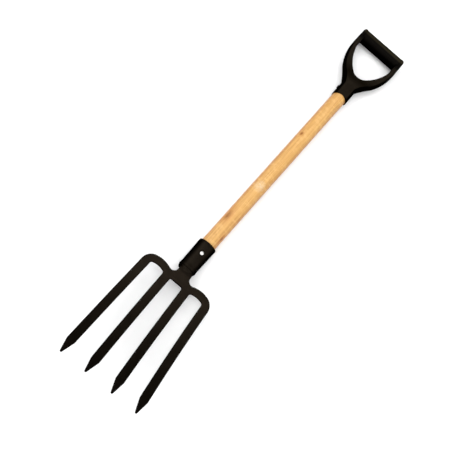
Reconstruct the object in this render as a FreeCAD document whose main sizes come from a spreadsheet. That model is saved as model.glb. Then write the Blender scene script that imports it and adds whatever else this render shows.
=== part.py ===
import FreeCAD, Part
import math
import os

import Sketcher

os.makedirs("parts", exist_ok=True)

# A four-tine digging fork that lies on its back: +Y runs from the tines to the hand grip, +Z points
# up out of the concave front of the tines and +X is across. The origin is on the floor, straight
# below the shaft's axis and half-way along the tool. All sizes are in millimetres and degrees.
SIZES = {
    # lengths along the tool, from the origin
    "axis_height": 22.5,
    "neck_root_y": -207.0,
    "socket_mouth_y": -150.0,
    "socket_end_y": -222.0,
    "wood_low_y": -196.0,
    "wood_high_y": 378.0,
    "collar_mouth_y": 332.5,
    "grip_axis_y": 509.6,
    # how the welded head, and the moulded hand grip, sit out of square with the shaft
    "head_turn": 5.0,
    "head_skew": 2.5,
    "head_lean": 3.0,
    "handle_skew": 0.7,
    "handle_pivot_y": 380.0,
    # allowances of the modelling itself
    "cut_margin": 20.0,
    "overlap": 1.0,
    # head plate, seen from the side
    "plate_thickness": 6.5,
    "plate_forward": 19.0,
    "tongue_forward": 8.0,
    "tongue_rise": 8.0,
    "ramp_top": 10.0,
    "ramp_foot": 25.0,
    "ramp_back_shift": 4.0,
    "bend_start": 32.0,
    "tine_bend_radius": 780.0,
    "point_thickness": 3.0,
    # thicker root behind the two middle tines
    "root_thickness": 11.5,
    "root_half_width": 30.0,
    "root_top": 34.0,
    "root_foot": 70.0,
    "root_chamfer": 8.0,
    # head outline, measured across from the middle and down from the neck root
    "tongue_half": 13.0,
    "neck_step_top": 15.0,
    "neck_step_foot": 20.0,
    "neck_half": 16.8,
    "neck_valley": 39.8,
    "valley_x": 28.8,
    "valley_radius": 11.3,
    "shoulder_rise_x": 35.4,
    "shoulder_rise_drop": 37.9,
    "crest_x": 40.9,
    "crest_drop": 36.7,
    "crest_radius": 55.0,
    "corner_x": 67.2,
    "corner_drop": 36.2,
    "corner_radius": 27.5,
    "outer_side_drop": 60.5,
    # slots between the tines
    "outer_slot_top": 52.2,
    "slot_side_drop": 8.5,
    "slot_arch_inset": 5.2,
    "slot_arch_drop": 1.6,
    "slot_arch_radius": 48.0,
    "slot_corner_radius": 6.0,
    "centre_slot_top": 56.0,
    "centre_corner_radius": 3.4,
    # tines
    "point_start": 287.0,
    "tip_drop": 317.5,
    "tine_width": 20.0,
    "tip_width": 5.4,
    "inner_root_x": 26.7,
    "inner_end_x": 32.3,
    "inner_tip_x": 33.9,
    "inner_bow_radius": 4100.0,
    "outer_root_x": 81.6,
    "outer_end_x": 95.2,
    "outer_tip_x": 97.0,
    # socket and its weld
    "mouth_radius": 22.5,
    "socket_low_radius": 20.9,
    "socket_lip_radius": 22.2,
    "socket_lip_length": 7.0,
    "socket_lip_slope": 1.5,
    "socket_bore_radius": 18.05,
    "weld_radius": 20.4,
    "weld_plug_radius": 18.0,
    "weld_plug": 6.0,
    "weld_length": 8.0,
    "weld_foot_radius": 14.0,
    "weld_hollow_radius": 12.8,
    "weld_front": 20.2,
    "weld_fill_length": 6.0,
    "weld_fill_rise": 0.6,
    "weld_fill_reach": 9.0,
    "weld_fill_drop": 2.0,
    "weld_fill_depth": 8.0,
    # shaft
    "shaft_radius": 18.0,
    "shaft_chamfer": 2.0,
    "shaft_clearance": 0.05,
    # screws
    "socket_screw_y": -178.5,
    "screw_seat": 21.3,
    "collar_screw_y": 358.0,
    "collar_screw_seat": 19.6,
    "screw_head_radius": 4.3,
    "screw_head_height": 2.4,
    "screw_rim_height": 1.1,
    "screw_crown_radius": 2.7,
    "screw_shank_radius": 2.2,
    "screw_length": 22.0,
    "screw_point_length": 4.0,
    "screw_gap": 0.1,
    "recess_width": 1.2,
    "recess_length": 4.6,
    "recess_depth": 1.4,
    # collar of the hand grip
    "collar_radius": 20.3,
    "collar_bore_end_y": 380.0,
    "collar_top_y": 382.0,
    "scallop_radius": 45.0,
    # yoke of the hand grip, whose outer sides lean in towards its front and back panels
    "yoke_half_depth": 20.5,
    "yoke_half_width": 63.0,
    "yoke_collar_half": 20.0,
    "yoke_side_inset": 14.0,
    "throat_y": 371.0,
    "throat_radius": 240.0,
    "arm_start_half": 44.4,
    "arm_start_y": 407.0,
    "arm_start_lean": 0.85,
    "arm_radius": 132.0,
    "arm_end_setback": -0.7,
    "arm_end_drop": 40.0,
    "arm_end_lean": 0.4,
    "cheek_drop": 10.0,
    "cheek_lean": 0.12,
    # front and back panels of the yoke, seen from the side
    "panel_start_y": 380.0,
    "panel_bend_y": 404.0,
    "panel_bend_depth": 15.1,
    "panel_end_y": 428.0,
    "panel_curve_radius": 90.0,
    "arm_half_depth": 12.5,
    "flare_drop": 54.0,
    "flare_radius": 150.0,
    "flare_end_drop": 16.0,
    "flare_end_depth": 17.0,
    "flare_stop_drop": 4.0,
    "flare_stop_depth": 17.5,
    # opening for the hand
    "opening_half_width": 51.2,
    "opening_side_radius": 115.0,
    "opening_side_drop": 37.7,
    "opening_apex_x": 13.8,
    "opening_apex_y": 407.7,
    "opening_apex_radius": 25.0,
    "opening_past_grip": 5.0,
    # bar of the hand grip and the cheeks at its ends
    "grip_half_length": 56.2,
    "grip_radius": 16.5,
    "grip_round_radius": 16.52,
    "grip_deepening": 2.7,
    "cheek_spare": 0.5,
    "cheek_half_depth": 19.0,
    "cheek_peak_rise": 4.0,
    "cheek_swell_drop": 15.0,
    "cheek_swell_depth": 17.2,
    "cheek_root_drop": 40.0,
    "cheek_top_half": 8.0,
    "cheek_top_rise": 15.8,
    "cheek_side_radius": 60.0,
    "cheek_end_radius": 16.0,
    # outline of the cheeks, seen from the front
    "trim_start_setback": 2.0,
    "trim_start_drop": 62.0,
    "cheek_corner_drop": 2.0,
    "cheek_corner_radius": 22.0,
    "cheek_brow_setback": 3.4,
    "cheek_brow_rise": 11.5,
    "cheek_brow_radius": 6.5,
    "cheek_top_setback": 9.6,
}

doc = FreeCAD.newDocument("digging_fork")
sheet = doc.addObject("Spreadsheet::Sheet", "Sizes")
for row, (alias, number) in enumerate(SIZES.items(), start=1):
    sheet.set(f"A{row}", alias)
    sheet.set(f"B{row}", str(number))
    sheet.setAlias(f"B{row}", alias)
doc.recompute()


class Dim:
    """A length that knows both its value and the expression that gives it from the sheet."""

    def __init__(self, value, text):
        self.value = value
        self.text = text

    @staticmethod
    def of(other):
        return other if isinstance(other, Dim) else Dim(float(other), f"{float(other)}")

    def __add__(self, other):
        other = Dim.of(other)
        return Dim(self.value + other.value, f"({self.text} + {other.text})")

    def __sub__(self, other):
        other = Dim.of(other)
        return Dim(self.value - other.value, f"({self.text} - {other.text})")

    def __mul__(self, other):
        other = Dim.of(other)
        return Dim(self.value * other.value, f"({self.text} * {other.text})")

    def __truediv__(self, other):
        other = Dim.of(other)
        return Dim(self.value / other.value, f"({self.text} / {other.text})")

    def __rsub__(self, other):
        return Dim.of(other) - self

    def __neg__(self):
        return Dim(-self.value, f"(-1 * {self.text})")


def dim(alias):
    return Dim(float(sheet.get(alias)), f"Sizes.{alias}")


def millimetres(length):
    return f"({length.text}) * 1 mm"


def bind_placement(obj, along, turn, skew, lean):
    """Put obj on the shaft's axis at y = along, leaned about X, skewed about Z, turned about Y."""
    rotation = (
        f"rotation(vector(0; 1; 0); {turn.text}) * rotation(vector(0; 0; 1); {skew.text})"
        f" * rotation(vector(1; 0; 0); {lean.text})"
    )
    obj.setExpression(
        "Placement",
        f"placement(vector(0; {along.text}; {dim('axis_height').text}); {rotation})",
    )
    doc.recompute()


def about(axis, degrees, x=0.0, y=0.0, z=0.0):
    """A placement that turns the point x, y, z about an axis through the origin."""
    rotation = FreeCAD.Rotation(FreeCAD.Vector(*axis), degrees)
    return FreeCAD.Placement(rotation.multVec(FreeCAD.Vector(x, y, z)), rotation)


def new_body(label):
    body = doc.addObject("PartDesign::Body", label)
    body.Label = label
    return body


def plane_of(body, role):
    return next(f for f in body.Origin.OriginFeatures if f.Role == role)


def new_sketch(body, name, role):
    sketch = body.newObject("Sketcher::SketchObject", name)
    sketch.AttachmentSupport = [(plane_of(body, role), "")]
    sketch.MapMode = "FlatFace"
    return sketch


def arc_centre(first, second, radius, left):
    """Centre of the arc from first to second that lies left, or right, of the way between them."""
    (ax, ay), (bx, by) = first, second
    half = math.hypot(bx - ax, by - ay) / 2
    rise = math.sqrt(max(radius * radius - half * half, 0.0)) * (1 if left else -1)
    return (
        (ax + bx) / 2 - rise * (by - ay) / (2 * half),
        (ay + by) / 2 + rise * (bx - ax) / (2 * half),
    )


def bind(sketch, index, length):
    sketch.setExpression(f"Constraints[{index}]", millimetres(length))


def outline(sketch, points):
    """Draw one closed outline. Each point is (x, y) or (x, y, radius, side): the edge that leaves
    the point is a line, or an arc of that radius whose centre is on its "left" or "right"."""
    ends = [(p[0].value, p[1].value) for p in points]
    starts = []
    for i, point in enumerate(points):
        here, there = ends[i], ends[(i + 1) % len(points)]
        if len(point) == 2:
            line = Part.LineSegment(FreeCAD.Vector(*here, 0), FreeCAD.Vector(*there, 0))
            starts.append((sketch.addGeometry(line, False), 1, 2))
            continue
        left = point[3] == "left"
        cx, cy = arc_centre(here, there, point[2].value, left)
        begin, finish = (here, there) if left else (there, here)
        circle = Part.Circle(FreeCAD.Vector(cx, cy, 0), FreeCAD.Vector(0, 0, 1), point[2].value)
        angles = [math.atan2(q[1] - cy, q[0] - cx) for q in (begin, finish)]
        index = sketch.addGeometry(Part.ArcOfCircle(circle, *angles), False)
        starts.append((index, 1, 2) if left else (index, 2, 1))
    for i, point in enumerate(points):
        index, begin, _ = starts[i]
        last, _, finish = starts[i - 1]
        sketch.addConstraint(Sketcher.Constraint("Coincident", last, finish, index, begin))
        for kind, length, axis in (("DistanceX", point[0], -2), ("DistanceY", point[1], -1)):
            if length.value == 0.0:
                sketch.addConstraint(Sketcher.Constraint("PointOnObject", index, begin, axis))
                continue
            made = sketch.addConstraint(
                Sketcher.Constraint(kind, -1, 1, index, begin, length.value)
            )
            bind(sketch, made, length)
        if len(point) == 4:
            made = sketch.addConstraint(Sketcher.Constraint("Radius", index, point[2].value))
            bind(sketch, made, point[2])


def both_sides(points, closing=()):
    """A list of points on the +X side, followed by their mirror images in reverse order."""
    mirrored = [
        (-points[i][0], points[i][1], *(points[i - 1][2:] if i else closing))
        for i in reversed(range(len(points)))
    ]
    return points + mirrored


def pad(body, sketch, name, length):
    """Pad a sketch to both sides of its plane."""
    feature = body.newObject("PartDesign::Pad", name)
    feature.Profile = sketch
    feature.Midplane = True
    feature.Length = length.value
    feature.setExpression("Length", millimetres(length))
    doc.recompute()
    return feature


def cut_through(body, sketch, name, mirror_role=None):
    """Cut a sketch right through the body, and again on the other side of a mirror plane."""
    before = body.Shape.Volume
    feature = body.newObject("PartDesign::Pocket", name)
    feature.Profile = sketch
    feature.Type = "ThroughAll"
    feature.Midplane = True
    doc.recompute()
    if mirror_role:
        mirrored = body.newObject("PartDesign::Mirrored", name + "_mirrored")
        mirrored.Originals = [feature]
        mirrored.MirrorPlane = (plane_of(body, mirror_role), [""])
        body.Tip = mirrored
        doc.recompute()
    if body.Shape.Volume > before - 0.01:
        raise RuntimeError(f"{name} removes nothing")
    return feature


def turn_profile(body, sketch, name, cut=False):
    """Revolve a sketch, or cut its revolution, about the sketch's vertical axis."""
    before = body.Shape.Volume if cut else 0.0
    feature = body.newObject("PartDesign::Groove" if cut else "PartDesign::Revolution", name)
    feature.Profile = sketch
    feature.ReferenceAxis = (sketch, ["V_Axis"])
    feature.Angle = 360
    doc.recompute()
    if cut and body.Shape.Volume > before - 0.01:
        raise RuntimeError(f"{name} removes nothing")
    return feature


def drill(body, name, radius, height, spot):
    """Cut a round hole that starts at a placement and runs along its Z axis."""
    hole = body.newObject("PartDesign::SubtractiveCylinder", name)
    hole.Radius = radius.value
    hole.setExpression("Radius", millimetres(radius))
    hole.Height = height.value
    hole.setExpression("Height", millimetres(height))
    hole.Placement = spot
    doc.recompute()


ZERO = Dim(0.0, "0")
SIDEWAYS = Dim(-90.0, "-90")
MARGIN = dim("cut_margin")
OVERLAP = dim("overlap")


def head_side_profile():
    """The head seen from the side: tongue, ramp, plate, curved tine and thinning point."""
    half = dim("plate_thickness") / 2
    ahead = dim("plate_forward")
    tongue = dim("tongue_forward")
    bend = dim("tine_bend_radius")
    start = -dim("bend_start")
    fall = dim("tip_drop") - dim("bend_start")
    turn_start = math.asin((dim("point_start") - dim("bend_start")).value / bend.value)
    turn_tip = math.asin(fall.value / bend.value)

    def on_bend(angle, offset, sign):
        """A point of the bend, offset from its middle line to the front or to the back."""
        radius = bend - offset * sign
        return (
            start - radius * math.sin(angle),
            ahead + bend - radius * math.cos(angle),
        )

    thin = dim("point_thickness") / 2
    back_shift = dim("ramp_back_shift")
    return [
        (dim("tongue_rise"), tongue - half),
        (dim("tongue_rise"), tongue + half),
        (-dim("ramp_top"), tongue + half),
        (-dim("ramp_foot"), ahead + half),
        (start, ahead + half, bend - half, "right"),
        on_bend(turn_start, half, 1),
        on_bend(turn_tip, thin, 1),
        on_bend(turn_tip, thin, -1),
        (*on_bend(turn_start, half, -1), bend + half, "left"),
        (start, ahead - half),
        (-dim("ramp_foot") - back_shift, ahead - half),
        (-dim("ramp_top") - back_shift, tongue - half),
    ]


def make_head():
    """The head: a flat steel plate with four tines, bent forward, on a cranked neck."""
    body = new_body("fork_head")
    side = new_sketch(body, "head_side", "YZ_Plane")
    outline(side, head_side_profile())
    pad(body, side, "head_blank", (dim("outer_tip_x") + dim("tine_width")) * 2 + MARGIN)

    thick, thin = dim("root_thickness"), dim("plate_thickness")
    boss = new_sketch(body, "root_boss", "XY_Plane")
    back = dim("plate_forward") + thin / 2 - thick
    boss.setExpression("AttachmentOffset.Base.z", millimetres(back))
    broad, chamfer = dim("root_half_width"), dim("root_chamfer")
    high_end, low_end = -dim("root_top"), -dim("root_foot")
    outline(
        boss,
        [
            (broad, low_end + chamfer),
            (broad, high_end),
            (-broad, high_end),
            (-broad, low_end + chamfer),
            (chamfer - broad, low_end),
            (broad - chamfer, low_end),
        ],
    )
    raised = body.newObject("PartDesign::Pad", "raise_boss")
    raised.Profile = boss
    raised.setExpression("Length", millimetres(thick - thin + OVERLAP))
    doc.recompute()

    wide = dim("tine_width") / 2
    narrow = dim("tip_width") / 2
    start = -dim("point_start")
    tip = -dim("tip_drop")
    past = tip - MARGIN
    above = dim("tongue_rise") + MARGIN
    away = dim("outer_tip_x") + dim("tine_width") + MARGIN * 2
    neck = dim("neck_half")
    valley, valley_radius = -dim("neck_valley"), dim("valley_radius")

    around = new_sketch(body, "around_head", "XY_Plane")
    outline(
        around,
        [
            (dim("tongue_half"), above),
            (dim("tongue_half"), -dim("neck_step_top")),
            (neck, -dim("neck_step_foot")),
            (neck, valley + valley_radius, valley_radius, "left"),
            (dim("valley_x"), valley, valley_radius, "left"),
            (dim("shoulder_rise_x"), -dim("shoulder_rise_drop")),
            (dim("crest_x"), -dim("crest_drop"), dim("crest_radius"), "right"),
            (dim("corner_x"), -dim("corner_drop"), dim("corner_radius"), "right"),
            (dim("outer_root_x") + wide, -dim("outer_side_drop")),
            (dim("outer_end_x") + wide, start),
            (dim("outer_tip_x") + narrow, tip),
            (dim("outer_tip_x") + narrow, past),
            (away, past),
            (away, above),
        ],
    )
    cut_through(body, around, "trim_around", "YZ_Plane")

    slot_in = dim("inner_root_x") + wide
    slot_out = dim("outer_root_x") - wide
    slot_top = -dim("outer_slot_top")
    slot_side = slot_top - dim("slot_side_drop")
    slot_arch = slot_top - dim("slot_arch_drop")
    inset, corner = dim("slot_arch_inset"), dim("slot_corner_radius")
    bow = dim("inner_bow_radius")
    slot = new_sketch(body, "outer_slot", "XY_Plane")
    outline(
        slot,
        [
            (slot_in, slot_side, corner, "right"),
            (slot_in + inset, slot_arch, dim("slot_arch_radius"), "right"),
            (slot_out - inset, slot_arch, corner, "right"),
            (slot_out, slot_side),
            (dim("outer_end_x") - wide, start),
            (dim("outer_tip_x") - narrow, tip),
            (dim("outer_tip_x") - narrow, past),
            (dim("inner_tip_x") + narrow, past),
            (dim("inner_tip_x") + narrow, tip),
            (dim("inner_end_x") + wide, start, bow, "left"),
        ],
    )
    cut_through(body, slot, "cut_outer_slot", "YZ_Plane")

    edge = dim("inner_root_x") - wide
    top = -dim("centre_slot_top")
    round_off = dim("centre_corner_radius")
    centre = new_sketch(body, "centre_slot", "XY_Plane")
    outline(
        centre,
        [
            (-edge, top - round_off, round_off, "right"),
            (-edge + round_off, top),
            (edge - round_off, top, round_off, "right"),
            (edge, top - round_off, bow, "right"),
            (dim("inner_end_x") - wide, start),
            (dim("inner_tip_x") - narrow, tip),
            (dim("inner_tip_x") - narrow, past),
            (-dim("inner_tip_x") + narrow, past),
            (-dim("inner_tip_x") + narrow, tip),
            (-dim("inner_end_x") + wide, start, bow, "right"),
        ],
    )
    cut_through(body, centre, "cut_centre_slot")
    bind_placement(
        body, dim("neck_root_y"), dim("head_turn"), dim("head_skew"), dim("head_lean")
    )
    return body


def make_socket():
    """The tapered steel tube that the shaft is driven into, with a lip where it meets the neck."""
    body = new_body("socket")
    end, mouth = dim("socket_end_y"), dim("socket_mouth_y")
    lip_top, slope = end + dim("socket_lip_length"), dim("socket_lip_slope")
    profile = new_sketch(body, "socket_profile", "XY_Plane")
    outline(
        profile,
        [
            (dim("socket_bore_radius"), end),
            (dim("socket_lip_radius"), end),
            (dim("socket_lip_radius"), lip_top - slope),
            (dim("socket_low_radius"), lip_top + slope),
            (dim("mouth_radius"), mouth),
            (dim("socket_bore_radius"), mouth),
        ],
    )
    turn_profile(body, profile, "socket_tube")
    along, gap = dim("socket_screw_y"), dim("screw_gap")
    for name, size, begin in (
        ("screw_seat", dim("screw_head_radius") + gap, dim("screw_seat")),
        ("screw_hole", dim("screw_shank_radius") + gap, dim("socket_bore_radius") - MARGIN / 4),
    ):
        spot = FreeCAD.Placement()
        spot.Base = FreeCAD.Vector(0, along.value, begin.value)
        drill(body, name, size, MARGIN, spot)
    bind_placement(body, ZERO, dim("head_turn"), ZERO, ZERO)
    return body


def make_weld(head):
    """The weld that fills the socket's end around the neck and runs out onto it as a bead."""
    body = new_body("neck_weld_blank")
    end = dim("socket_end_y")
    foot = end - dim("weld_length")
    inner = end + dim("weld_plug")
    profile = new_sketch(body, "weld_profile", "XY_Plane")
    outline(
        profile,
        [
            (ZERO, foot),
            (dim("weld_foot_radius"), foot, dim("weld_hollow_radius"), "right"),
            (dim("weld_radius"), end),
            (dim("weld_plug_radius"), end),
            (dim("weld_plug_radius"), inner),
            (ZERO, inner),
        ],
    )
    turn_profile(body, profile, "weld_bead")
    front = dim("weld_front")
    near, far = end - dim("weld_fill_length"), end - dim("weld_fill_reach")
    fill = new_sketch(body, "weld_fill_side", "YZ_Plane")
    outline(
        fill,
        [
            (end, ZERO),
            (end, front),
            (near, front + dim("weld_fill_rise")),
            (far, front - dim("weld_fill_drop")),
            (far, front - dim("weld_fill_depth")),
            (near, ZERO),
        ],
    )
    pad(body, fill, "weld_fill", dim("tongue_half") * 2)
    bind_placement(body, ZERO, dim("head_turn"), ZERO, ZERO)
    cut = doc.addObject("Part::Cut", "neck_weld")
    cut.Label = "neck_weld"
    cut.Base = body
    cut.Tool = head
    doc.recompute()
    return cut


def make_shaft():
    """The turned wooden shaft, with a pilot hole for each of its two screws."""
    body = new_body("shaft")
    low, high = dim("wood_low_y"), dim("wood_high_y")
    radius, bevel = dim("shaft_radius"), dim("shaft_chamfer")
    profile = new_sketch(body, "shaft_profile", "XY_Plane")
    outline(
        profile,
        [
            (ZERO, low),
            (radius - bevel, low),
            (radius, low + bevel),
            (radius, high - bevel),
            (radius - bevel, high),
            (ZERO, high),
        ],
    )
    turn_profile(body, profile, "shaft_rod")
    length = dim("screw_length")
    for name, along, seat, turn in (
        ("socket_screw_pilot", dim("socket_screw_y"), dim("screw_seat"), dim("head_turn")),
        ("collar_screw_pilot", dim("collar_screw_y"), dim("collar_screw_seat"), SIDEWAYS),
    ):
        depth = seat - length - OVERLAP / 2
        spot = about((0, 1, 0), turn.value, y=along.value, z=depth.value)
        drill(body, name, dim("screw_shank_radius"), length + MARGIN / 2, spot)
    bind_placement(body, ZERO, ZERO, ZERO, ZERO)
    return body


def make_screw(label, seat, along, turn):
    """A pan-head screw on its own Z axis, with a crossed recess, placed on the socket or collar."""
    body = new_body(label)
    head, shank = dim("screw_head_radius"), dim("screw_shank_radius")
    tall = dim("screw_head_height")
    tail = -dim("screw_length")
    profile = new_sketch(body, label + "_profile", "XZ_Plane")
    outline(
        profile,
        [
            (ZERO, tail),
            (shank, tail + dim("screw_point_length")),
            (shank, ZERO),
            (head, ZERO),
            (head, dim("screw_rim_height")),
            (dim("screw_crown_radius"), tall),
            (ZERO, tall),
        ],
    )
    turn_profile(body, profile, label + "_turned")
    long_side, short_side = dim("recess_length"), dim("recess_width")
    for name, size_x, size_y in (
        ("recess_across", long_side, short_side),
        ("recess_along", short_side, long_side),
    ):
        cross = body.newObject("PartDesign::SubtractiveBox", f"{label}_{name}")
        cross.setExpression("Length", millimetres(size_x))
        cross.setExpression("Width", millimetres(size_y))
        cross.setExpression("Height", millimetres(dim("recess_depth") + OVERLAP))
        cross.Placement.Base = FreeCAD.Vector(
            -size_x.value / 2, -size_y.value / 2, (tall - dim("recess_depth")).value
        )
        doc.recompute()
    spot = about((0, 1, 0), turn.value, y=along.value, z=seat.value)
    spot.Base.z += dim("axis_height").value
    body.Placement = spot
    return body


def handle_offset(skew):
    """The placement that skews the hand grip about the pivot on the shaft's axis."""
    pivot = FreeCAD.Vector(0, dim("handle_pivot_y").value, 0)
    rotation = FreeCAD.Rotation(FreeCAD.Vector(0, 0, 1), skew)
    return FreeCAD.Placement(pivot - rotation.multVec(pivot), rotation)


def make_yoke(body):
    """The two arms, lofted through three outlines and cut to their side profile."""
    grip_y = dim("grip_axis_y")
    half_width = dim("yoke_half_width")
    deep = dim("yoke_half_depth")
    layers = []
    for name, height, inset in (
        ("yoke_back", -deep, dim("yoke_side_inset")),
        ("yoke_middle", ZERO, ZERO),
        ("yoke_front", deep, dim("yoke_side_inset")),
    ):
        layer = new_sketch(body, name, "XY_Plane")
        layer.setExpression("AttachmentOffset.Base.z", millimetres(height))
        collar_half = dim("yoke_collar_half") - inset * dim("arm_end_lean")
        start_half = dim("arm_start_half") - inset * dim("arm_start_lean")
        end_half = half_width - dim("arm_end_setback") - inset * dim("arm_end_lean")
        outer = [
            (collar_half, dim("collar_mouth_y")),
            (collar_half, dim("throat_y"), dim("throat_radius"), "right"),
            (start_half, dim("arm_start_y"), dim("arm_radius"), "left"),
            (end_half, grip_y - dim("arm_end_drop")),
            (half_width - inset * dim("cheek_lean"), grip_y - dim("cheek_drop")),
        ]
        outline(layer, both_sides(outer))
        layers.append(layer)
    yoke = body.newObject("PartDesign::AdditiveLoft", "yoke_blank")
    yoke.Profile = layers[0]
    yoke.Sections = layers[1:]
    yoke.Ruled = True
    doc.recompute()

    across = dim("opening_half_width")
    inner = [
        (dim("opening_apex_x"), dim("opening_apex_y"), dim("opening_side_radius"), "left"),
        (across, grip_y - dim("opening_side_drop")),
        (across, grip_y + dim("opening_past_grip")),
    ]
    opening = new_sketch(body, "hand_opening", "XY_Plane")
    outline(opening, both_sides(inner, (dim("opening_apex_radius"), "left")))
    cut_through(body, opening, "cut_hand_opening")

    arm, curve = dim("arm_half_depth"), dim("panel_curve_radius")
    stop = grip_y - dim("flare_stop_drop")
    relief = new_sketch(body, "panel_side", "YZ_Plane")
    outline(
        relief,
        [
            (dim("panel_start_y"), deep + OVERLAP),
            (dim("panel_start_y"), deep, curve, "right"),
            (dim("panel_bend_y"), dim("panel_bend_depth"), curve, "left"),
            (dim("panel_end_y"), arm),
            (grip_y - dim("flare_drop"), arm, dim("flare_radius"), "left"),
            (grip_y - dim("flare_end_drop"), dim("flare_end_depth")),
            (stop, dim("flare_stop_depth")),
            (stop, deep + OVERLAP),
        ],
    )
    cut_through(body, relief, "shape_panels", "XY_Plane")


def make_grip(body):
    """The end cheeks, each a plate that swells around the bar's end, and the bar itself."""
    grip_y = dim("grip_axis_y")
    edge, half_bar = dim("yoke_half_width"), dim("grip_half_length")
    tall, cheek = dim("grip_radius"), dim("cheek_half_depth")
    thick = edge - half_bar + OVERLAP + dim("cheek_spare")
    root, root_half = grip_y - dim("cheek_root_drop"), dim("arm_half_depth") - OVERLAP
    swell, swell_half = grip_y - dim("cheek_swell_drop"), dim("cheek_swell_depth")
    peak = grip_y + dim("cheek_peak_rise")
    top, top_half = grip_y + dim("cheek_top_rise"), dim("cheek_top_half")
    for name, begin in (
        ("right_cheek", half_bar - OVERLAP),
        ("left_cheek", OVERLAP - half_bar - thick),
    ):
        side_view = new_sketch(body, name + "_side", "YZ_Plane")
        side_view.setExpression("AttachmentOffset.Base.z", millimetres(begin))
        outline(
            side_view,
            [
                (root, -root_half),
                (swell, -swell_half, dim("cheek_side_radius"), "left"),
                (peak, -cheek, dim("cheek_end_radius"), "left"),
                (top, -top_half),
                (top, top_half, dim("cheek_end_radius"), "left"),
                (peak, cheek, dim("cheek_side_radius"), "left"),
                (swell, swell_half),
                (root, root_half),
            ],
        )
        plate = body.newObject("PartDesign::Pad", name)
        plate.Profile = side_view
        plate.setExpression("Length", millimetres(thick))
        doc.recompute()

    flat = dim("grip_deepening")
    section = new_sketch(body, "grip_section", "YZ_Plane")
    outline(
        section,
        [
            (grip_y + tall, -flat),
            (grip_y + tall, flat, dim("grip_round_radius"), "left"),
            (grip_y - tall, flat),
            (grip_y - tall, -flat, dim("grip_round_radius"), "left"),
        ],
    )
    pad(body, section, "grip", half_bar * 2)

    around = new_sketch(body, "around_cheek", "XY_Plane")
    past, beyond = grip_y + tall + MARGIN / 4, edge + MARGIN
    start = grip_y - dim("trim_start_drop")
    outline(
        around,
        [
            (edge - dim("trim_start_setback"), start, dim("arm_radius"), "left"),
            (edge - dim("arm_end_setback"), grip_y - dim("arm_end_drop")),
            (edge, grip_y - dim("cheek_drop")),
            (edge, grip_y - dim("cheek_corner_drop"), dim("cheek_corner_radius"), "left"),
            (
                edge - dim("cheek_brow_setback"),
                grip_y + dim("cheek_brow_rise"),
                dim("cheek_brow_radius"),
                "left",
            ),
            (edge - dim("cheek_top_setback"), grip_y + tall),
            (edge - dim("cheek_top_setback"), past),
            (beyond, past),
            (beyond, start),
        ],
    )
    cut_through(body, around, "trim_cheek", "YZ_Plane")


def make_handle():
    """The moulded hand grip: a collar over the shaft's end, two arms, end cheeks and the bar."""
    body = new_body("d_handle")
    make_yoke(body)
    make_grip(body)

    # the collar, whose bore and screw hole stay true to the shaft while the rest is skewed
    straight = handle_offset(-dim("handle_skew").value)
    mouth = dim("collar_mouth_y")
    radius, bore = dim("collar_radius"), dim("shaft_radius") + dim("shaft_clearance")
    collar = new_sketch(body, "collar_profile", "XY_Plane")
    outline(
        collar,
        [
            (ZERO, mouth),
            (radius, mouth),
            (radius, dim("collar_top_y")),
            (ZERO, dim("collar_top_y")),
        ],
    )
    turn_profile(body, collar, "collar")
    hollow = new_sketch(body, "bore_profile", "XY_Plane")
    hollow.AttachmentOffset = straight
    outline(
        hollow,
        [
            (ZERO, mouth - OVERLAP * 2),
            (bore, mouth - OVERLAP * 2),
            (bore, dim("collar_bore_end_y")),
            (ZERO, dim("collar_bore_end_y")),
        ],
    )
    turn_profile(body, hollow, "bore", cut=True)
    scallop = new_sketch(body, "mouth_scallop", "XY_Plane")
    outline(
        scallop,
        [
            (radius + OVERLAP, mouth, dim("scallop_radius"), "left"),
            (-radius - OVERLAP, mouth),
            (-radius - OVERLAP, mouth - MARGIN / 4),
            (radius + OVERLAP, mouth - MARGIN / 4),
        ],
    )
    cut_through(body, scallop, "scallop_mouth")
    gap = dim("screw_gap")
    for name, size, begin in (
        ("collar_screw_hole", dim("screw_shank_radius") + gap, MARGIN / 2),
        ("collar_screw_seat", dim("screw_head_radius") + gap * 3, dim("collar_screw_seat")),
    ):
        spot = about(
            (0, 1, 0), SIDEWAYS.value, y=dim("collar_screw_y").value, z=begin.value
        )
        drill(body, name, size, MARGIN, straight.multiply(spot))
    placed = handle_offset(dim("handle_skew").value)
    placed.Base.z += dim("axis_height").value
    body.Placement = placed
    return body


head = make_head()
socket = make_socket()
weld = make_weld(head)
shaft = make_shaft()
socket_screw = make_screw(
    "socket_screw", dim("screw_seat"), dim("socket_screw_y"), dim("head_turn")
)
collar_screw = make_screw(
    "collar_screw", dim("collar_screw_seat"), dim("collar_screw_y"), SIDEWAYS
)
handle = make_handle()
pieces = [head, socket, weld, shaft, handle, socket_screw, collar_screw]

doc.recompute()
for obj in doc.Objects:
    if "Invalid" in obj.State or "Error" in obj.State:
        raise RuntimeError(f"{obj.Label} failed: {obj.State}")
for piece in pieces:
    if piece.Shape.isNull() or not piece.Shape.isValid():
        raise RuntimeError(f"{piece.Label} has no valid shape")
for piece in pieces:
    piece.Shape.exportStep(f"parts/{piece.Label}.step")
    box = piece.Shape.BoundBox
    low, high = (box.XMin, box.YMin, box.ZMin), (box.XMax, box.YMax, box.ZMax)
    print(f"{piece.Label}: {len(piece.Shape.Solids)} solid, from {low} to {high} mm")
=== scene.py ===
import math

import bmesh
import bpy
from mathutils import Matrix, Vector, noise
from mathutils.geometry import delaunay_2d_cdt


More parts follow.
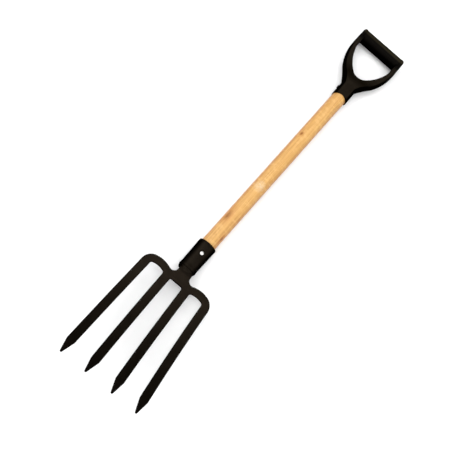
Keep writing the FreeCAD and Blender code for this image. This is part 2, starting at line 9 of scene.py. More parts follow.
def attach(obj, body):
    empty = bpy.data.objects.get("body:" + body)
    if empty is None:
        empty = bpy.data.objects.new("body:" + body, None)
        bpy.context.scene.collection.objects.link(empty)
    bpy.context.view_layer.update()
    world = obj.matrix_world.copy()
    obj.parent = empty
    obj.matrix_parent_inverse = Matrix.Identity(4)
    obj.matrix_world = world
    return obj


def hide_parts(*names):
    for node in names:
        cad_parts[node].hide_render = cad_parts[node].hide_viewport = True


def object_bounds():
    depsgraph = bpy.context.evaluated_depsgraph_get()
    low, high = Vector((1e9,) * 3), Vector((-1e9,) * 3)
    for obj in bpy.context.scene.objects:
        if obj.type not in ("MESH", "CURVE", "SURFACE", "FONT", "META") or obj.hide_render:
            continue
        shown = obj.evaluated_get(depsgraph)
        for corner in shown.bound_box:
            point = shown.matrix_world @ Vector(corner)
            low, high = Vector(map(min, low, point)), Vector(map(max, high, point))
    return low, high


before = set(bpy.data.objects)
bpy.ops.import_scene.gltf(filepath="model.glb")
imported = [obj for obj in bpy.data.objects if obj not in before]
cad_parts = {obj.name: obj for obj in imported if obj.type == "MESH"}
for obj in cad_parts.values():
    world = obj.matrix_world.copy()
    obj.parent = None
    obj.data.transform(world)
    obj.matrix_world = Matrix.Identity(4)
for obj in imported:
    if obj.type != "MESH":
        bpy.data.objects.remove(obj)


def corners():
    return [list(corner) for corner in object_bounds()]


cad_box = corners()
MM = 0.001

# Sizes are in millimetres and degrees. The shaft's axis runs along Y at this height over the floor.
AXIS_HEIGHT = 22.5
SOCKET_END, SOCKET_MOUTH = -222.0, -150.0
SHAFT_LOW, SHAFT_HIGH, SHAFT_RADIUS = -196.0, 378.0, 18.0
GRIP_Y = 509.6
HEAD_ORIGIN_Y = -207.0
HEAD_TURN, HEAD_SKEW, HEAD_LEAN = 5.0, 2.5, 3.0
# Screws: place along Y and distance of the seat from the axis.
SOCKET_SCREW = (-178.5, 21.3)
COLLAR_SCREW = (358.0, 19.6)


# ---------------------------------------------------------------- meshes

def rotation_about(axis, degrees):
    return Matrix.Rotation(math.radians(degrees), 4, axis)


def head_matrix():
    """From the head's own millimetres to the frame's metres."""
    move = Matrix.Translation(Vector((0, HEAD_ORIGIN_Y, AXIS_HEIGHT)) * MM)
    turned = rotation_about("Y", HEAD_TURN) @ rotation_about("Z", HEAD_SKEW)
    return move @ turned @ rotation_about("X", HEAD_LEAN) @ Matrix.Scale(MM, 4)


def axis_matrix(turn=0.0):
    """From millimetres about the shaft's axis to the frame's metres."""
    move = Matrix.Translation(Vector((0, 0, AXIS_HEIGHT)) * MM)
    return move @ rotation_about("Y", turn) @ Matrix.Scale(MM, 4)


def make_object(name, vertices, faces, matrix, attributes=()):
    """A smooth mesh object whose vertices are given in millimetres before matrix."""
    mesh = bpy.data.meshes.new(name)
    mesh.from_pydata([matrix @ Vector(v) for v in vertices], [], faces)
    for label, values in attributes:
        attribute = mesh.attributes.new(label, "FLOAT", "POINT")
        attribute.data.foreach_set("value", values)
    mesh.update()
    tidy = bmesh.new()
    tidy.from_mesh(mesh)
    bmesh.ops.recalc_face_normals(tidy, faces=tidy.faces)
    tidy.to_mesh(mesh)
    tidy.free()
    mesh.shade_smooth()
    obj = bpy.data.objects.new(name, mesh)
    bpy.context.scene.collection.objects.link(obj)
    return obj


def stand_for(obj, node):
    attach(obj, "root")
    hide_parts(node)
    return obj


def smooth_step(low, high, x):
    t = min(1.0, max(0.0, (x - low) / (high - low)))
    return t * t * (3 - 2 * t)


def arc_points(start, end, radius, side, step=1.3):
    """Points after start and before end on the arc between them."""
    (ax, ay), (bx, by) = start, end
    half = math.hypot(bx - ax, by - ay) / 2
    rise = math.sqrt(max(radius * radius - half * half, 0.0)) * (1 if side == "left" else -1)
    cx = (ax + bx) / 2 - rise * (by - ay) / (2 * half)
    cy = (ay + by) / 2 + rise * (bx - ax) / (2 * half)
    begin = math.atan2(ay - cy, ax - cx)
    turn = math.atan2(by - cy, bx - cx) - begin
    if side == "left" and turn < 0:
        turn += 2 * math.pi
    if side == "right" and turn > 0:
        turn -= 2 * math.pi
    count = max(2, round(abs(turn) * radius / step))
    return [
        (cx + radius * math.cos(begin + turn * i / count),
         cy + radius * math.sin(begin + turn * i / count))
        for i in range(1, count)
    ]


def line_points(start, end, step=5.0):
    count = max(1, round(math.dist(start, end) / step))
    return [
        (start[0] + (end[0] - start[0]) * i / count, start[1] + (end[1] - start[1]) * i / count)
        for i in range(1, count)
    ]


def trace(path, step=1.3):
    """Points along a path of (x, y) or (x, y, radius, side) corners, as in the part's outlines."""
    points = []
    for here, there in zip(path, path[1:]):
        points.append(here[:2])
        if len(here) == 4:
            points += arc_points(here[:2], there[:2], here[2], here[3], step)
        else:
            points += line_points(here[:2], there[:2])
    return points + [path[-1][:2]]


def lathe(name, profile, matrix, segments=96, dent=None):
    """Turn (radius, y) points about the Y axis. dent, if given, moves each point of the surface."""
    vertices, faces = [], []
    for radius, y in profile:
        for i in range(segments):
            a = 2 * math.pi * i / segments
            point = Vector((radius * math.cos(a), y, radius * math.sin(a)))
            vertices.append(dent(point) if dent else point)
    for ring in range(len(profile) - 1):
        for i in range(segments):
            j = (i + 1) % segments
            a, b = ring * segments, (ring + 1) * segments
            faces.append((a + i, a + j, b + j, b + i))
    faces.append(tuple(range(segments)))
    faces.append(tuple(range((len(profile) - 1) * segments, len(profile) * segments)))
    return make_object(name, vertices, faces, matrix)


# ---------------------------------------------------------------- the head

# Half widths of a tine and of its blunt tip, and the middles of the inner and the outer tine at
# the root, where the point starts and at the tip.
TINE_HALF, TIP_HALF = 10.0, 2.7
INNER_X = (26.7, 32.3, 33.9)
OUTER_X = (81.6, 95.2, 97.0)
POINT_START, TIP_END = -287.0, -317.5
TIP_BLUNT, TIP_RADIUS = 2.2, 2.8
# Neck and shoulder, outwards from the tongue.
TONGUE_TOP, TONGUE_HALF, TONGUE_BEVEL = 8.0, 13.0, 1.0
NECK_STEP_TOP, NECK_STEP_RADIUS, NECK_STEP_FOOT, NECK_HALF = -15.0, 10.0, -21.0, 16.8
VALLEY_SIDE_Y, VALLEY_X, VALLEY_Y, VALLEY_RADIUS = -28.5, 28.8, -39.8, 11.3
SHOULDER_RISE = (35.4, -37.9)
CREST, CREST_RADIUS = (40.9, -36.7), 55.0
CORNER, CORNER_RADIUS = (67.2, -36.2), 27.5
OUTER_SIDE_Y = -60.5
# Slots between the tines.
SLOT_TOP, SLOT_SIDE_DROP, SLOT_CORNER = -52.2, 8.5, 6.0
SLOT_ARCH_INSET, SLOT_ARCH_DROP, SLOT_ARCH_RADIUS = 5.2, 1.6, 48.0
CENTRE_TOP, CENTRE_CORNER = -56.0, 3.4
# Side view: thickness, rounded edges, cranked neck, bend and thicker root.
PLATE_HALF, POINT_HALF, POINT_BLEND, POINT_CURVE = 3.25, 1.5, 12.0, 1.4
EDGE_ROUND, EDGE_STEPS = 1.3, 4
TONGUE_Z, PLATE_Z = 8.0, 19.0
RAMP_FOOT, RAMP_TOP, SLOPE_STEP = -27.0, -11.0, 0.1
BEND_START, BEND_RADIUS = -32.0, 780.0
BOSS_DEPTH, BOSS_SIDE, BOSS_FOOT, BOSS_TOP = 5.0, (20.0, 34.0), (-78.0, -58.0), (-40.0, -27.0)
# Unevenness of the forged faces, and the spacing of the points inside them.
FORGE_DEPTH, FORGE_SIZE = 0.16, 17.0
GRID_ROW, GRID_COLUMN, GRID_SHIFT, GRID_HALF_COUNT = 4.0, 3.9, 1.9, 27
GRID_TOP, GRID_MARGIN = 6.0, 3.0


def head_half_outline():
    """The right half of the head's outline, from the tongue round to the centre slot."""
    slot_in, slot_out = INNER_X[0] + TINE_HALF, OUTER_X[0] - TINE_HALF
    centre_edge = INNER_X[0] - TINE_HALF
    arch_y, side_y = SLOT_TOP - SLOT_ARCH_DROP, SLOT_TOP - SLOT_SIDE_DROP
    blunt_y = TIP_END + TIP_BLUNT
    return [
        (0.0, TONGUE_TOP),
        (TONGUE_HALF - TONGUE_BEVEL, TONGUE_TOP),
        (TONGUE_HALF, TONGUE_TOP - TONGUE_BEVEL),
        (TONGUE_HALF, NECK_STEP_TOP, NECK_STEP_RADIUS, "right"),
        (NECK_HALF, NECK_STEP_FOOT),
        (NECK_HALF, VALLEY_SIDE_Y, VALLEY_RADIUS, "left"),
        (VALLEY_X, VALLEY_Y, VALLEY_RADIUS, "left"),
        SHOULDER_RISE,
        (*CREST, CREST_RADIUS, "right"),
        (*CORNER, CORNER_RADIUS, "right"),
        (OUTER_X[0] + TINE_HALF, OUTER_SIDE_Y),
        (OUTER_X[1] + TINE_HALF, POINT_START),
        (OUTER_X[2] + TIP_HALF, blunt_y, TIP_RADIUS, "right"),
        (OUTER_X[2] - TIP_HALF, blunt_y),
        (OUTER_X[1] - TINE_HALF, POINT_START),
        (slot_out, side_y, SLOT_CORNER, "left"),
        (slot_out - SLOT_ARCH_INSET, arch_y, SLOT_ARCH_RADIUS, "left"),
        (slot_in + SLOT_ARCH_INSET, arch_y, SLOT_CORNER, "left"),
        (slot_in, side_y),
        (INNER_X[1] + TINE_HALF, POINT_START),
        (INNER_X[2] + TIP_HALF, blunt_y, TIP_RADIUS, "right"),
        (INNER_X[2] - TIP_HALF, blunt_y),
        (INNER_X[1] - TINE_HALF, POINT_START),
        (centre_edge, CENTRE_TOP - CENTRE_CORNER, CENTRE_CORNER, "left"),
        (centre_edge - CENTRE_CORNER, CENTRE_TOP),
        (0.0, CENTRE_TOP),
    ]


def plate_middle(y):
    """Height of the plate's middle over the shaft's axis, and its slope, at y."""
    if y > BEND_START:
        t = smooth_step(RAMP_FOOT, RAMP_TOP, y)
        ahead = smooth_step(RAMP_FOOT, RAMP_TOP, y + SLOPE_STEP)
        z = PLATE_Z + (TONGUE_Z - PLATE_Z) * t
        return z, (TONGUE_Z - PLATE_Z) * (ahead - t) / SLOPE_STEP
    drop = BEND_START - y
    depth = math.sqrt(BEND_RADIUS ** 2 - drop ** 2)
    return PLATE_Z + BEND_RADIUS - depth, -drop / depth


def plate_half(y):
    """Half the plate's thickness at y, which thins towards the points."""
    begin = POINT_START + POINT_BLEND
    thin = min(1.0, max(0.0, (begin - y) / (begin - TIP_END)))
    return PLATE_HALF + (POINT_HALF - PLATE_HALF) * thin ** POINT_CURVE


def rear_boss(x, y):
    """How much thicker the back is where the neck meets the two middle tines."""
    across = 1 - smooth_step(*BOSS_SIDE, abs(x))
    along = smooth_step(*BOSS_FOOT, y) * (1 - smooth_step(*BOSS_TOP, y))
    return BOSS_DEPTH * across * along


def inward_normals(loop):
    """Unit inward normals of a clockwise or counter-clockwise loop, lengthened at corners."""
    area = sum(a[0] * b[1] - b[0] * a[1] for a, b in zip(loop, loop[1:] + loop[:1]))
    sign = 1 if area > 0 else -1
    normals = []
    for i, here in enumerate(loop):
        before, after = loop[i - 1], loop[(i + 1) % len(loop)]
        one = Vector((here[0] - before[0], here[1] - before[1])).normalized()
        two = Vector((after[0] - here[0], after[1] - here[1])).normalized()
        way = (one + two).normalized()
        normal = Vector((-way.y, way.x)) * sign
        stretch = max(0.6, way.dot(one))
        normals.append(normal / stretch)
    return normals


def inside(point, loop):
    """Whether the closed loop goes round the point."""
    x, y = point
    odd = False
    for (ax, ay), (bx, by) in zip(loop, loop[1:] + loop[:1]):
        if (ay > y) != (by > y) and x < ax + (bx - ax) * (y - ay) / (by - ay):
            odd = not odd
    return odd


def edge_round(y):
    """Radius of the plate's rounded edges at y."""
    return EDGE_ROUND * plate_half(y) / PLATE_HALF


def face_grid(loop, normals):
    """Rows of points that lie well inside the loop, to carry the bend of the faces."""
    margin = [(x + n.x * GRID_MARGIN, y + n.y * GRID_MARGIN) for (x, y), n in zip(loop, normals)]
    points = []
    for row in range(int((TONGUE_TOP - TIP_END) / GRID_ROW)):
        for column in range(-GRID_HALF_COUNT, GRID_HALF_COUNT + 1):
            point = (column * GRID_COLUMN + (row % 2) * GRID_SHIFT, GRID_TOP - row * GRID_ROW)
            if inside(point, margin):
                points.append(point)
    return points


def build_head():
    """The forged plate: rounded edges all round, and a front and a back face meshed inside them."""
    half = trace(head_half_outline())
    loop = half[:-1] + [(-x, y) for x, y in reversed(half)][:-1]
    normals = inward_normals(loop)
    vertices, edge_wear, faces = [], [], []

    def add(x, y, side, share, wear):
        """A point share of the way out from the plate's middle to its front or back face."""
        z, slope = plate_middle(y)
        reach = plate_half(y) * share
        if side < 0:
            reach += rear_boss(x, y) * share
        spot = Vector((x, y, side * 40.0)) / FORGE_SIZE
        reach = side * (reach + FORGE_DEPTH * noise.noise(spot) * share)
        size = math.hypot(slope, 1.0)
        vertices.append((x, y - slope / size * reach, z + reach / size))
        edge_wear.append(wear)
        return len(vertices) - 1

    rings = []
    for side in (1, -1):
        for step in range(EDGE_STEPS + 1):
            a = math.pi / 2 * step / EDGE_STEPS
            if side < 0:
                a = math.pi / 2 - a
            ring = []
            for (x, y), normal in zip(loop, normals):
                round_off = edge_round(y)
                inset = round_off * (1 - math.sin(a))
                share = 1 - round_off / plate_half(y) * (1 - math.cos(a))
                ring.append(add(x + normal.x * inset, y + normal.y * inset, side, share,
                                math.sin(2 * a)))
            rings.append(ring)
    count = len(loop)
    for one, two in zip(rings, rings[1:]):
        for i in range(count):
            j = (i + 1) % count
            faces.append((one[i], one[j], two[j], two[i]))

    inner = [(x + n.x * edge_round(y), y + n.y * edge_round(y)) for (x, y), n in zip(loop, normals)]
    flat = [Vector(point) for point in inner + face_grid(loop, normals)]
    ring_edges = [(i, (i + 1) % count) for i in range(count)]
    points, _, triangles, origins, _, _ = delaunay_2d_cdt(flat, ring_edges, [], 1, 1e-6)
    for side, ring in ((1, rings[0]), (-1, rings[-1])):
        index = []
        for point, origin in zip(points, origins):
            if origin and min(origin) < count:
                index.append(ring[min(origin)])
            else:
                index.append(add(point.x, point.y, side, 1.0, 0.0))
        faces += [tuple(index[i] for i in triangle) for triangle in triangles]
    return make_object("fork_head_forging", vertices, faces, head_matrix(),
                       [("edge_wear", edge_wear)])


# ---------------------------------------------------------------- socket, weld, shaft, screws

SOCKET_BORE, SOCKET_WAIST, SOCKET_FLARE, SOCKET_UNEVEN = 18.1, 21.15, 22.5, 0.12
LIP_START, LIP_ROUND, LIP_TOP, MOUTH_ROUND = 20.9, 0.8, 8.5, 1.5
INNER_WALL_DEPTH, FLARE_STEPS, FLARE_CURVE = 40.0, 12, 1.1

# The weld's bead: its foot on the neck, how far it spreads and runs down, and the plug behind it.
BEAD_FOOT, BEAD_SPREAD, BEAD_LENGTH, BEAD_STEPS = 14.2, 6.2, 7.4, 15
PLUG_LENGTH, PLUG_RADIUS = 5.0, 17.9
# Its front, which is flush with the plate, and the ripples and lumps all round.
FRONT_REACH, FRONT_SPAN, FRONT_RUN, SOCKET_EDGE = 20.6, (10.0, 17.0), 0.55, 20.0
RIPPLE_DEPTH, RIPPLE_COUNT, LUMP_DEPTH = 0.22, 34, 0.5

SHAFT_SKIN, SHAFT_ROWS, SHAFT_WAVE = 17.95, 90, 0.1


def build_socket():
    """The tapered tube: rolled lip, waist that flares to the mouth, and the mouth's inner wall."""
    profile = [(SOCKET_BORE, SOCKET_END), (LIP_START, SOCKET_END)]
    profile += [
        (LIP_START + math.sin(a) * LIP_ROUND, SOCKET_END + LIP_ROUND - math.cos(a) * LIP_ROUND)
        for a in (0.5, 1.0, 1.5)
    ]
    profile += [(r, SOCKET_END + up) for r, up in ((21.6, 3.0), (21.5, 5.0), (21.3, 7.0))]
    length = SOCKET_MOUTH - MOUTH_ROUND - (SOCKET_END + LIP_TOP)
    for i in range(FLARE_STEPS + 1):
        t = i / FLARE_STEPS
        radius = SOCKET_WAIST + (SOCKET_FLARE - SOCKET_WAIST) * t ** FLARE_CURVE
        profile.append((radius, SOCKET_END + LIP_TOP + t * length))
    rim = ((22.3, 0.7), (21.8, 0.15), (21.2, 0.0), (18.6, 0.0), (18.2, 0.4), (SOCKET_BORE, 1.2),
           (SOCKET_BORE, INNER_WALL_DEPTH))
    profile += [(r, SOCKET_MOUTH - down) for r, down in rim]

    def dent(p):
        push = SOCKET_UNEVEN * noise.noise(Vector((p.x, p.y * 0.6, p.z)) / 11.0) - SOCKET_UNEVEN
        return p + Vector((p.x, 0, p.z)).normalized() * push

    return lathe("socket_tube", profile, axis_matrix(HEAD_TURN), 128, dent)


def build_weld():
    """The bead round the neck: it fills the socket's end flush with the plate's front."""
    profile = [(0.1, SOCKET_END + PLUG_LENGTH), (PLUG_RADIUS, SOCKET_END + PLUG_LENGTH),
               (PLUG_RADIUS + 0.05, SOCKET_END + 0.3)]
    for i in range(BEAD_STEPS + 1):
        a = math.pi / 2 * i / BEAD_STEPS
        profile.append((BEAD_FOOT + BEAD_SPREAD * math.cos(a),
                        SOCKET_END - BEAD_LENGTH * math.sin(a)))
    profile += [(r, SOCKET_END - BEAD_LENGTH - 0.1) for r in (12.5, 10.0, 7.0, 4.0, 0.1)]

    def dent(p):
        below = SOCKET_END - p.y
        if below <= 0:
            return p
        radius = math.hypot(p.x, p.z)
        share = min(1.0, radius / BEAD_FOOT)
        across = abs(p.x) / radius * SOCKET_EDGE
        front = (1 - smooth_step(*FRONT_SPAN, across)) * share if p.z > 0 else 0.0
        reach = radius + (FRONT_REACH * share - radius) * front
        around = math.atan2(p.z, p.x)
        ripple = RIPPLE_DEPTH * math.sin(around * RIPPLE_COUNT + 2.5 * noise.noise(p / 6.0))
        lump = LUMP_DEPTH * noise.noise(p / 5.0)
        reach += (ripple + lump) * min(1.0, below / 1.5) * share
        return Vector((p.x / radius * reach, SOCKET_END - below * (1 + FRONT_RUN * front),
                       p.z / radius * reach))

    return lathe("weld_bead", profile, axis_matrix(HEAD_TURN), 160, dent)


def build_shaft():
    """The turned shaft, a shade off round and off straight as sanded wood is."""
    low, high = SHAFT_LOW, SHAFT_HIGH
    bevel = ((0.1, 0.0), (16.0, 0.0), (17.3, 0.7), (SHAFT_SKIN, 2.2))
    profile = [(r, low + up) for r, up in bevel]
    length = high - low - 8
    profile += [(SHAFT_SKIN, low + 4 + length * i / SHAFT_ROWS) for i in range(SHAFT_ROWS + 1)]
    profile += [(r, high - down) for r, down in reversed(bevel)]

    def dent(p):
        exposed = smooth_step(-149.0, -130.0, p.y) * (1 - smooth_step(310.0, 330.0, p.y))
        wave = noise.noise(Vector((p.x / 12.0, p.y / 60.0, p.z / 12.0)))
        uneven = SHAFT_WAVE * wave - SHAFT_WAVE / 2
        return p + Vector((p.x, 0, p.z)).normalized() * uneven * exposed

    return lathe("wooden_shaft", profile, axis_matrix(), 96, dent)


def build_screw(name, matrix):
    """A pan-head screw along its own Y axis, its head from y 0 to 2.4, with a crossed recess."""
    profile = [(0.05, -22.0), (0.8, -20.5), (2.1, -18.0), (2.1, -0.2), (4.05, -0.1), (4.3, 0.15)]
    profile += [(2.6 + 1.7 * math.cos(a), 0.75 + 1.5 * math.sin(a))
                for a in (0.0, 0.3, 0.6, 0.9, 1.2, 1.4)]
    profile += [(2.0, 2.36), (1.0, 2.4), (0.05, 2.4)]
    screw = lathe(name, profile, Matrix.Identity(4), 64)
    for turn in (0.0, 90.0):
        bpy.ops.mesh.primitive_cube_add(size=1.0)
        cutter = bpy.context.object
        cutter.data.transform(Matrix.Translation((0, 2.3, 0)) @ rotation_about("Y", turn)
                              @ Matrix.Diagonal((4.6, 2.6, 0.95, 1.0)))
        cut = screw.modifiers.new("recess", "BOOLEAN")
        cut.operation = "DIFFERENCE"
        cut.solver = "EXACT"
        cut.object = cutter
        bpy.context.view_layer.objects.active = screw
        bpy.ops.object.modifier_apply(modifier=cut.name)
        bpy.data.objects.remove(cutter)
    screw.data.transform(matrix)
    screw.data.shade_smooth()
    screw.data.set_sharp_from_angle(angle=math.radians(40))
    return screw


# ---------------------------------------------------------------- materials

class Graph:
    """A node material that is put together one node at a time."""

    def __init__(self, name):
        self.material = bpy.data.materials.new(name)
        self.material.use_nodes = True
        self.tree = self.material.node_tree
        self.shader = self.tree.nodes["Principled BSDF"]
        self.place = self.tree.nodes.new("ShaderNodeTexCoord").outputs["Object"]

    def node(self, kind, inputs=(), **settings):
        """Add a shader node with its settings and inputs."""
        made = self.tree.nodes.new("ShaderNode" + kind)
        for name, value in settings.items():
            setattr(made, name, value)
        for name, value in dict(inputs).items():
            self.put(made.inputs[name], value)
        return made

    def put(self, socket, value):
        """Link a socket to the output given, or set it to the value given."""
        if isinstance(value, bpy.types.NodeSocket):
            self.tree.links.new(value, socket)
        else:
            socket.default_value = value

    def stretched(self, x=1.0, y=1.0, z=1.0, shift=(0, 0, 0)):
        """Object coordinates, scaled along each axis and then shifted."""
        made = self.node("Mapping", {"Vector": self.place, "Scale": (x, y, z), "Location": shift})
        return made.outputs["Vector"]

    def noise(self, scale, detail=4.0, rough=0.55, vector=None):
        made = self.node("TexNoise", {"Vector": vector or self.place, "Scale": scale,
                                      "Detail": detail, "Roughness": rough})
        return made.outputs["Fac"]

    def ramp(self, value, *stops):
        """Map a value through (place, grey or colour) stops."""
        made = self.node("ValToRGB", {"Fac": value})
        made.color_ramp.elements.remove(made.color_ramp.elements[0])
        for i, (where, colour) in enumerate(stops):
            element = (made.color_ramp.elements[0] if i == 0
                       else made.color_ramp.elements.new(where))
            element.position = where
            grey = (colour,) * 3 if isinstance(colour, float) else colour
            element.color = (*grey, 1.0)
        return made.outputs["Color"]

    def painted_side_shade(self, dark):
        """Painted shade: 1 on faces that look up or down, falling to dark on the steep sides."""
        normal = self.tree.nodes.new("ShaderNodeTexCoord").outputs["Normal"]
        rise = self.node("SeparateXYZ", {"Vector": normal}).outputs["Z"]
        return self.ramp(self.math("ABSOLUTE", rise), (0.35, dark), (0.9, 1.0))

    def math(self, operation, a, b=0.0, c=0.0):
        made = self.node("Math", operation=operation)
        for socket, value in zip(made.inputs, (a, b, c)):
            self.put(socket, value)
        return made.outputs[0]

    def mix(self, share, a, b, blend="MIX"):
        made = self.node("Mix", data_type="RGBA", blend_type=blend)
        for socket, value in ((made.inputs[0], share), (made.inputs[6], a), (made.inputs[7], b)):
            if isinstance(value, tuple) and len(value) == 3:
                value = (*value, 1.0)
            self.put(socket, value)
        return made.outputs[2]

    def bump(self, height, distance, strength=1.0, under=None):
        inputs = {"Height": height, "Distance": distance, "Strength": strength}
        if under is not None:
            inputs["Normal"] = under
        return self.node("Bump", inputs).outputs["Normal"]

    def finish(self, **sockets):
        """Fill the sockets of the main shader and hand over the material."""
        for name, value in sockets.items():
            if isinstance(value, tuple) and len(value) == 3:
                value = (*value, 1.0)
            self.put(self.shader.inputs[name.replace("_", " ")], value)
        return self.material

    def finish_black(self, base, rough, normal):
        """A black that does not brighten where the floor is seen in it at a flat angle."""
        return self.finish(Base_Color=base, Roughness=rough, Normal=normal, Metallic=0.85,
                           Specular_IOR_Level=0.0, Specular_Tint=(0.0, 0.0, 0.0))


def enamel(name, tint, rough_low, rough_high, peel):
    """Sprayed black enamel on steel: orange peel and dust nibs, with painted shade that darkens it
    towards the tine points and on the steep sides.
    """
    g = Graph(name)
    cloud = g.noise(28.0, 5.0)
    base = g.ramp(cloud, (0.3, tuple(c * 0.85 for c in tint)), (0.7, tuple(c * 1.15 for c in tint)))
    wear = g.node("Attribute", attribute_name="edge_wear").outputs["Fac"]
    chips = g.ramp(g.noise(420.0, 6.0, 0.7), (0.58, 0.0), (0.68, 1.0))
    worn = g.math("MULTIPLY", g.math("MULTIPLY", wear, chips), 0.35)
    base = g.mix(worn, base, (0.07, 0.062, 0.052))
    speck = g.ramp(g.noise(1500.0, 2.0), (0.70, 0.0), (0.76, 1.0))
    base = g.mix(g.math("MULTIPLY", speck, 0.2), base, (0.06, 0.055, 0.045))
    # Painted shade: darker towards the tine points, and darker on the steep sides.
    along = g.node("SeparateXYZ", {"Vector": g.place}).outputs["Y"]
    painted_tip_shade = g.ramp(g.math("MULTIPLY_ADD", along, 2.5, 1.35), (0.05, 0.5), (0.6, 1.0))
    base = g.mix(1.0, base, g.mix(1.0, painted_tip_shade, g.painted_side_shade(0.15), "MULTIPLY"), "MULTIPLY")
    rough = g.ramp(g.noise(70.0, 6.0, 0.65), (0.35, rough_low), (0.65, rough_high))
    normal = g.bump(g.noise(38.0, 3.0), 0.0006, 0.5)
    normal = g.bump(g.noise(850.0, 3.0), 0.00006, peel, normal)
    return g.finish_black(base, rough, normal)


# Knots: place along Y, angle from the top towards +X in degrees, half length and half width in mm,
# how dark it is and how far it pushes the grain aside.
KNOTS = [
    (194.9, -34.0, 4.6, 3.0, 1.0, 2.6),
    (-71.0, -38.0, 15.0, 6.0, 0.62, 3.0),
    (-60.0, 52.0, 13.0, 1.8, 0.4, 1.5),
    (-122.9, 50.0, 9.0, 2.8, 0.95, 2.2),
    (96.0, 150.0, 6.0, 3.4, 0.8, 3.0),
]

# In metres: where the pith of the growth rings would lie and how wide a ring is, and the middle
# and the half sizes of the pale smear on the varnish.
PITH_X, PITH_DEPTH, RING_WIDTH = 0.035, 0.062, 0.0034
SMEAR_PLACE, SMEAR_SIZE = (-0.001, 0.0284, 0.0405), (0.015, 0.017, 0.015)


def varnished_wood():
    """Honey-coloured wood under a thin varnish: growth rings cut lengthwise, fibres and knots, with
    painted shade along the flanks and painted highlights across the ripples.
    """
    g = Graph("honey_wood")
    split = g.node("SeparateXYZ", {"Vector": g.place})
    x, y, z = (split.outputs[i] for i in range(3))
    shade, halo, push = 0.0, 0.0, 0.0
    for along, around, length, width, dark, aside in KNOTS:
        kx = SHAFT_RADIUS * math.sin(math.radians(around)) * MM
        kz = (AXIS_HEIGHT + SHAFT_RADIUS * math.cos(math.radians(around))) * MM
        near = []
        for value, centre, half in ((x, kx, width), (y, along * MM, length), (z, kz, width)):
            off = g.math("DIVIDE", g.math("SUBTRACT", value, centre), half * MM)
            near.append(g.math("MULTIPLY", off, off))
        square = g.math("ADD", g.math("ADD", near[0], near[1]), near[2])
        ragged = g.math("ADD", square, g.math("MULTIPLY", g.noise(260.0, 3.0), 0.9))
        core = g.math("MULTIPLY", g.math("EXPONENT", g.math("MULTIPLY", ragged, -1.6)), dark * 2.2)
        shade = g.math("ADD", core, shade)
        ring_round = g.math("EXPONENT", g.math("MULTIPLY", ragged, -0.45))
        halo = g.math("ADD", g.math("MULTIPLY", ring_round, 1.25 * dark), halo)
        wide = g.math("EXPONENT", g.math("MULTIPLY", square, -0.12))
        push = g.math("ADD", g.math("MULTIPLY", wide, aside * MM), push)

    warp = g.math("SUBTRACT", g.noise(1.0, 3.0, 0.5, g.stretched(16.0, 3.2, 16.0)), 0.5)
    off_x = g.math("SUBTRACT", x, PITH_X)
    off_z = g.math("ADD", z, PITH_DEPTH)
    ring = g.math("SQRT", g.math("ADD", g.math("MULTIPLY", off_x, off_x),
                                 g.math("MULTIPLY", off_z, off_z)))
    ring = g.math("ADD", g.math("ADD", ring, push), g.math("MULTIPLY", warp, 0.018))
    growth = g.math("FRACT", g.math("MULTIPLY", ring, 1 / RING_WIDTH))
    bands = g.ramp(growth, (0.0, 0.1), (0.6, 0.35), (0.85, 0.8), (1.0, 0.1))
    faded = g.ramp(g.noise(1.0, 2.0, 0.5, g.stretched(40.0, 7.0, 40.0)), (0.35, 0.1), (0.65, 1.0))
    bands = g.math("MULTIPLY", bands, faded)

    fibre = g.noise(1.0, 6.0, 0.68, g.stretched(520.0, 11.0, 520.0))
    streak = g.noise(1.0, 4.0, 0.6, g.stretched(90.0, 3.0, 90.0))
    ripple = g.noise(1.0, 3.0, 0.5, g.stretched(70.0, 130.0, 70.0))
    pale, honey, amber = (0.65, 0.385, 0.128), (0.575, 0.312, 0.089), (0.39, 0.172, 0.037)
    base = g.ramp(streak, (0.3, amber), (0.46, honey), (0.72, pale))
    base = g.mix(g.math("MULTIPLY", bands, 0.38), base, amber)
    base = g.mix(g.ramp(fibre, (0.34, 0.5), (0.5, 0.0)), base, (0.30, 0.12, 0.028))
    # Painted highlight: paler bands across the grain where the ripple's bumps lie.
    painted_ripple_highlight = g.ramp(ripple, (0.5, 0.0), (0.68, 0.35))
    # Painted shade along both flanks of the shaft, which also stands for the tighter grain of the
    # sides.
    aside = g.math("MULTIPLY", g.math("ABSOLUTE", x), 1 / (SHAFT_RADIUS * MM))
    painted_flank_shade = g.ramp(aside, (0.55, 0.0), (0.67, 0.2), (0.78, 0.45), (0.9, 0.8), (1.0, 0.95))
    base = g.mix(painted_flank_shade, base, (0.40, 0.165, 0.030))
    base = g.mix(painted_ripple_highlight, base, (0.74, 0.47, 0.18))
    smear_at = g.stretched(*(1 / size for size in SMEAR_SIZE),
                           tuple(-at / size for at, size in zip(SMEAR_PLACE, SMEAR_SIZE)))
    smear_far = g.node("VectorMath", {0: smear_at}, operation="LENGTH").outputs["Value"]
    patchy = g.math("MULTIPLY", g.ramp(smear_far, (0.35, 1.0), (1.15, 0.0)),
                    g.ramp(g.noise(330.0, 5.0, 0.7), (0.36, 0.0), (0.60, 0.8)))
    base = g.mix(patchy, base, (0.62, 0.49, 0.33))
    base = g.mix(g.node("Clamp", {"Value": halo}).outputs[0], base, (0.42, 0.145, 0.022))
    base = g.mix(g.node("Clamp", {"Value": shade}).outputs[0], base, (0.19, 0.060, 0.010))
    rough = g.ramp(fibre, (0.3, 0.5), (0.7, 0.38))
    normal = g.bump(ripple, 0.0005, 0.25)
    normal = g.bump(fibre, 0.00012, 0.5, normal)
    return g.finish(Base_Color=base, Roughness=rough, Normal=normal, Coat_Weight=0.12,
                    Coat_Roughness=0.3, IOR=1.4)


